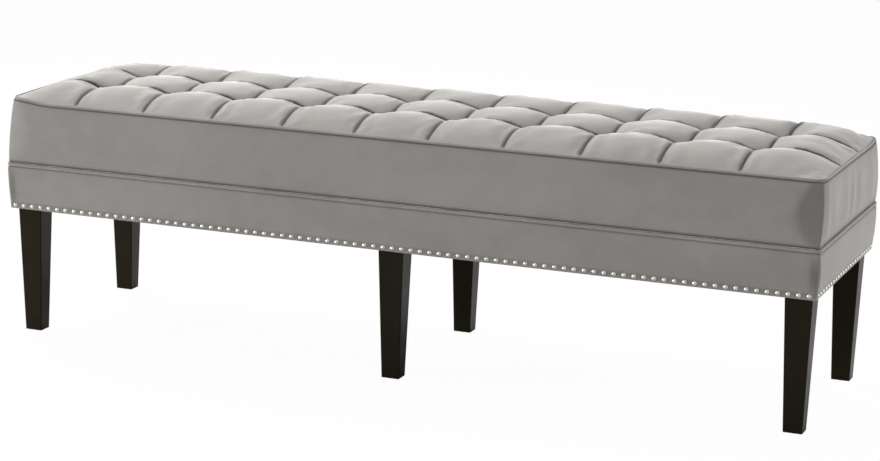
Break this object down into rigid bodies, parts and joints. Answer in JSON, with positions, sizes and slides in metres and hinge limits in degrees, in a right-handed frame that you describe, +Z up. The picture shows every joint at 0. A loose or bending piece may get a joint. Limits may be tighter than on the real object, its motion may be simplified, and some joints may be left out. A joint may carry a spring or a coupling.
{
  "type": "upholstered bench",
  "caption": "Long upholstered footstool bench: a square-tufted fixed seat with piped welts on a nailed border and tapered dark wooden legs.",
  "frame": {"origin": "on the floor, under the middle of the bench", "axes": "+X along the bench's length to its right end, -Y to its front, +Z up"},
  "size_m": [1.6, 0.446, 0.4908],
  "materials": {
    "leg_wood": "near black stain under satin lacquer",
    "glide_plastic": "black nylon",
    "zinc_steel": "bright zinc plate",
    "screw_steel": "yellow passivated",
    "frame_wood": "sawn pine, bare",
    "plywood": "birch faced plywood, bare",
    "foam": "open cell polyurethane foam",
    "wadding": "polyester fibre wadding",
    "velvet": "warm grey short pile velvet",
    "velvet_piping": "the same velvet sewn over cord",
    "twine": "waxed tufting twine",
    "anchor_plastic": "black moulded disc",
    "silver_nail": "nickel plated, polished",
    "dust_cloth": "black spun-bonded cambric",
    "blued_tack": "blued steel"
  },
  "bodies": {
    "root": {"front_left_leg": "leg_wood", "front_centre_leg": "leg_wood", "front_right_leg": "leg_wood", "rear_left_leg": "leg_wood", "rear_centre_leg": "leg_wood", "rear_right_leg": "leg_wood", "foot_glides": "glide_plastic", "leg_bolts": "zinc_steel", "tee_nuts": "zinc_steel", "rail_screws": "screw_steel", "block_screws": "screw_steel", "deck_screws": "screw_steel", "front_left_block": "frame_wood", "front_centre_block": "frame_wood", "front_right_block": "frame_wood", "rear_left_block": "frame_wood", "rear_centre_block": "frame_wood", "rear_right_block": "frame_wood", "front_rail": "frame_wood", "rear_rail": "frame_wood", "left_end_rail": "frame_wood", "right_end_rail": "frame_wood", "left_cross_rail": "frame_wood", "right_cross_rail": "frame_wood", "left_mid_rail": "frame_wood", "right_mid_rail": "frame_wood", "seat_deck": "plywood", "seat_foam": "foam", "side_wadding": "wadding", "top_wadding": "wadding", "tufted_cover": "velvet", "front_boxing": "velvet", "rear_boxing": "velvet", "left_boxing": "velvet", "right_boxing": "velvet", "front_border": "velvet", "rear_border": "velvet", "left_border": "velvet", "right_border": "velvet", "top_welt": "velvet_piping", "base_welt": "velvet_piping", "tuft_twines": "twine", "tuft_anchors": "anchor_plastic", "front_nails": "silver_nail", "rear_nails": "silver_nail", "left_nails": "silver_nail", "right_nails": "silver_nail", "dust_cover": "dust_cloth", "dust_cover_tacks": "blued_tack"}
  },
  "joints": []
}
